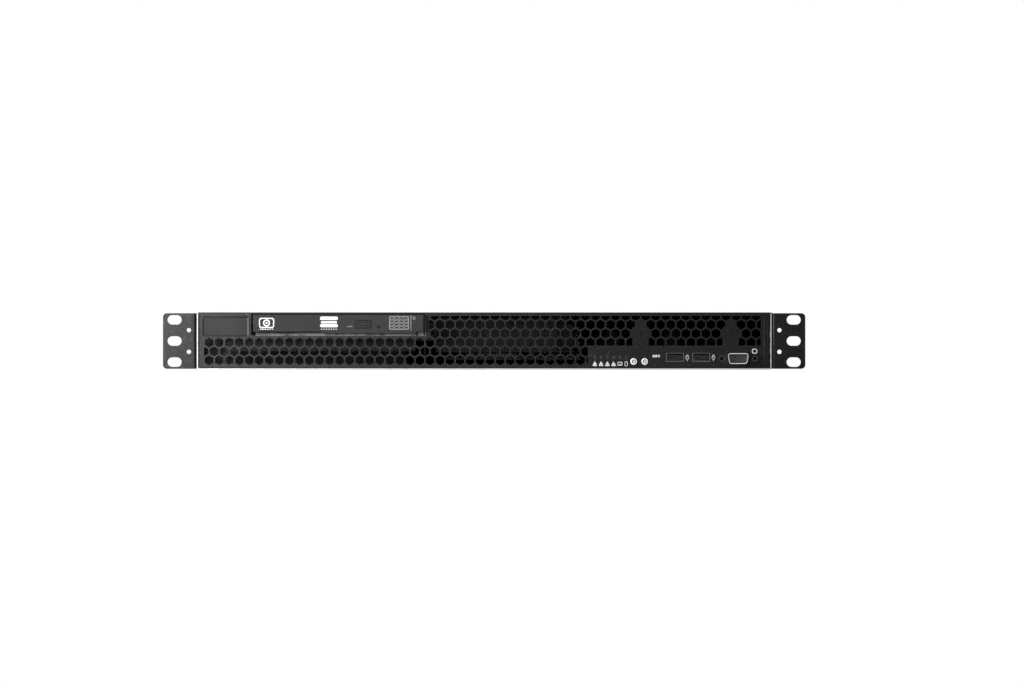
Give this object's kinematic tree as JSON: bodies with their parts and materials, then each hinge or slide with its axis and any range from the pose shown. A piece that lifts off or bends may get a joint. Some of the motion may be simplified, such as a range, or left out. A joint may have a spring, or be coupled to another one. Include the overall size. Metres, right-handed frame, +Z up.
{
  "type": "rack server",
  "caption": "Flat rack-mounted server with a honeycomb front, slim disc drive, front sockets and buttons, slide-off cover and fan-cooled inside.",
  "frame": {"origin": "middle of the rack screw pattern, on the back face of the ears", "axes": "+X across to the right as seen from the front, +Y to the back, +Z up; the front faces -Y"},
  "size_m": [0.4826, 0.3903, 0.043],
  "materials": {
    "case_steel": "zinc-coated sheet steel, faint spangle",
    "panel_paint": "fine-textured black powder coat",
    "ear_paint": "fine-textured black powder coat",
    "badge_paint": "satin black enamel",
    "screw_steel": "bright zinc-plated screws",
    "bezel_plastic": "fine-grained black plastic",
    "tray_plastic": "satin black moulded plastic",
    "drive_steel": "pressed bright steel",
    "hub_metal": "turned aluminium",
    "pickup_metal": "die-cast sled",
    "disk_metal": "cast and machined casing",
    "fan_plastic": "black glass-filled plastic",
    "rotor_plastic": "black moulded plastic",
    "board_laminate": "green solder mask",
    "brass_posts": "turned brass",
    "socket_plastic": "black and ivory moulded plastic",
    "processor_metal": "nickel-plated lid",
    "sink_metal": "extruded aluminium fins",
    "memory_laminate": "green solder mask with black chips",
    "latch_plastic": "ivory moulded plastic",
    "chipset_metal": "anodised aluminium",
    "capacitor_metal": "aluminium cans",
    "shield_metal": "thin tinned steel",
    "port_metal": "nickel-plated socket shells",
    "inlet_plastic": "black moulded plastic",
    "duct_plastic": "black sheet plastic",
    "light_plastic": "clear light pipe, unlit",
    "button_plastic": "silver moulded plastic",
    "eject_plastic": "fine-grained black plastic"
  },
  "bodies": {
    "chassis": {"chassis_tray": "case_steel", "rear_panel": "case_steel", "front_panel": "panel_paint", "badge_plate": "badge_paint", "front_rail": "case_steel", "rack_ear_left": "ear_paint", "rack_ear_right": "ear_paint", "drive_bracket": "case_steel", "drive_case": "drive_steel", "hard_drive_1": "disk_metal", "hard_drive_2": "disk_metal", "hard_drive_cradle": "case_steel", "fan_bracket": "case_steel", "fan_frames": "fan_plastic", "main_board": "board_laminate", "board_standoffs": "brass_posts", "processor_socket": "socket_plastic", "processor": "processor_metal", "processor_heatsink": "sink_metal", "air_duct": "duct_plastic", "memory_sockets": "socket_plastic", "memory_modules": "memory_laminate", "chipset_heatsink": "chipset_metal", "board_capacitors": "capacitor_metal", "board_headers": "socket_plastic", "riser_card": "board_laminate", "lan_sockets": "port_metal", "rear_usb_socket": "port_metal", "rear_d_sockets": "port_metal", "io_shield": "shield_metal", "slot_cover": "case_steel", "supply_case": "case_steel", "supply_fan_frame": "fan_plastic", "power_inlet": "inlet_plastic", "front_io_board": "board_laminate", "io_spacers": "screw_steel", "front_usb_sockets": "port_metal", "front_vga_socket": "port_metal", "jack_nuts": "screw_steel", "status_lights": "light_plastic"},
    "cover": {"top_cover": "case_steel", "cover_thumbscrews": "screw_steel"},
    "rails": {"tray_rails": "drive_steel"},
    "tray": {"disc_tray": "tray_plastic", "tray_bezel": "bezel_plastic"},
    "eject_button": {"eject_button": "eject_plastic"},
    "disc_hub": {"disc_hub": "hub_metal"},
    "pickup_sled": {"pickup_sled": "pickup_metal"},
    "power_button": {"power_button": "button_plastic"},
    "locate_button": {"locate_button": "button_plastic"},
    "fan_rotor_1": {"fan_rotor_1": "rotor_plastic"},
    "fan_rotor_2": {"fan_rotor_2": "rotor_plastic"},
    "fan_rotor_3": {"fan_rotor_3": "rotor_plastic"},
    "supply_fan_rotor": {"supply_fan_rotor": "rotor_plastic"},
    "memory_latch_1": {"memory_latch_1": "latch_plastic"},
    "memory_latch_2": {"memory_latch_2": "latch_plastic"},
    "memory_latch_3": {"memory_latch_3": "latch_plastic"},
    "memory_latch_4": {"memory_latch_4": "latch_plastic"}
  },
  "joints": [
    {"name": "cover_slide", "type": "slide", "parent": "chassis", "child": "cover", "axis": [0, 1, 0], "range_m": [0, 0.37]},
    {"name": "tray_slide", "type": "slide", "parent": "chassis", "child": "tray", "axis": [0, -1, 0], "range_m": [0, 0.118]},
    {"name": "tray_rails_slide", "type": "slide", "parent": "chassis", "child": "rails", "axis": [0, -1, 0], "range_m": [0, 0.059]},
    {"name": "eject_button_press", "type": "slide", "parent": "tray", "child": "eject_button", "axis": [0, 1, 0], "range_m": [0, 0.0008], "stiffness_N_per_m": 900, "springref_m": -0.0002},
    {"name": "disc_hub_spin", "type": "hinge", "parent": "tray", "child": "disc_hub", "pos_m": [-0.1095, 0.0612, 0.014], "axis": [0, 0, 1], "continuous": true},
    {"name": "pickup_sled_slide", "type": "slide", "parent": "tray", "child": "pickup_sled", "axis": [-0.7071, -0.7071, 0], "range_m": [0, 0.0335]},
    {"name": "power_button_press", "type": "slide", "parent": "chassis", "child": "power_button", "axis": [0, 1, 0], "range_m": [0, 0.0008], "stiffness_N_per_m": 1500, "springref_m": -0.0002},
    {"name": "locate_button_press", "type": "slide", "parent": "chassis", "child": "locate_button", "axis": [0, 1, 0], "range_m": [0, 0.0008], "stiffness_N_per_m": 1500, "springref_m": -0.0002},
    {"name": "supply_fan_spin", "type": "hinge", "parent": "chassis", "child": "supply_fan_rotor", "pos_m": [-0.1526, 0.37, -0.0007], "axis": [0, 1, 0], "continuous": true},
    {"name": "fan_1_spin", "type": "hinge", "parent": "chassis", "child": "fan_rotor_1", "pos_m": [0.095, 0.165, 0.0005], "axis": [0, 1, 0], "continuous": true},
    {"name": "fan_2_spin", "type": "hinge", "parent": "chassis", "child": "fan_rotor_2", "pos_m": [0.14, 0.165, 0.0005], "axis": [0, 1, 0], "continuous": true},
    {"name": "fan_3_spin", "type": "hinge", "parent": "chassis", "child": "fan_rotor_3", "pos_m": [0.185, 0.165, 0.0005], "axis": [0, 1, 0], "continuous": true},
    {"name": "memory_latch_1_turn", "type": "hinge", "parent": "chassis", "child": "memory_latch_1", "pos_m": [0.066, 0.1985, -0.0096], "axis": [1, 0, 0], "range_deg": [0, 35]},
    {"name": "memory_latch_2_turn", "type": "hinge", "parent": "chassis", "child": "memory_latch_2", "pos_m": [0.0565, 0.1985, -0.0096], "axis": [1, 0, 0], "range_deg": [0, 35]},
    {"name": "memory_latch_3_turn", "type": "hinge", "parent": "chassis", "child": "memory_latch_3", "pos_m": [0.047, 0.1985, -0.0096], "axis": [1, 0, 0], "range_deg": [0, 35]},
    {"name": "memory_latch_4_turn", "type": "hinge", "parent": "chassis", "child": "memory_latch_4", "pos_m": [0.0375, 0.1985, -0.0096], "axis": [1, 0, 0], "range_deg": [0, 35]}
  ],
  "couplings": [
    {"joint": "tray_rails_slide", "follows": "tray_slide", "ratio": 0.5}
  ]
}
